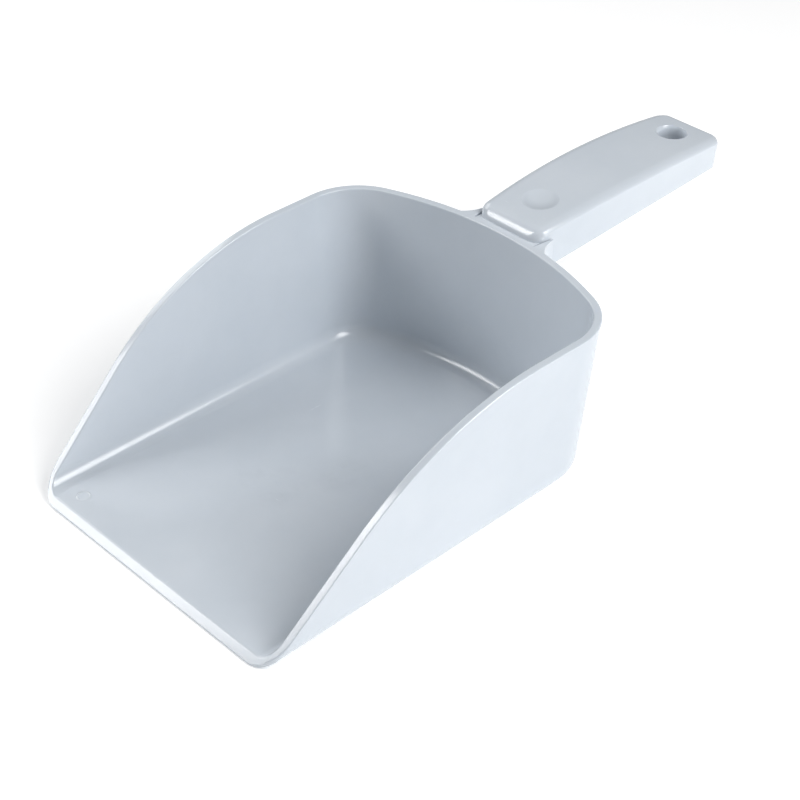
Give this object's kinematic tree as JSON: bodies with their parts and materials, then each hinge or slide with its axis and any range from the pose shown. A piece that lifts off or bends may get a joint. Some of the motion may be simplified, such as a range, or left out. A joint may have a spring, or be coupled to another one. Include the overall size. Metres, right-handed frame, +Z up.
{
  "type": "ice scoop",
  "caption": "Flat-bottomed moulded ice scoop with a slanted open mouth, raised side walls, a bowed back wall and a hollow arched grip with a hang hole.",
  "frame": {"origin": "middle of the flat underside of the bowl, halfway between the front lip and the foot of the back wall", "axes": "+Z up, +Y from the mouth towards the grip, +X to the right when looking from the mouth towards the grip"},
  "size_m": [0.1364, 0.281, 0.0737],
  "materials": {
    "bowl_plastic": "satin, light silver grey, fine moulded texture",
    "grip_plastic": "satin, light silver grey, fine moulded texture",
    "cover_plastic": "satin, light silver grey, fine moulded texture"
  },
  "bodies": {
    "root": {"bowl": "bowl_plastic", "grip_shell": "grip_plastic", "grip_cover": "cover_plastic"}
  },
  "joints": []
}
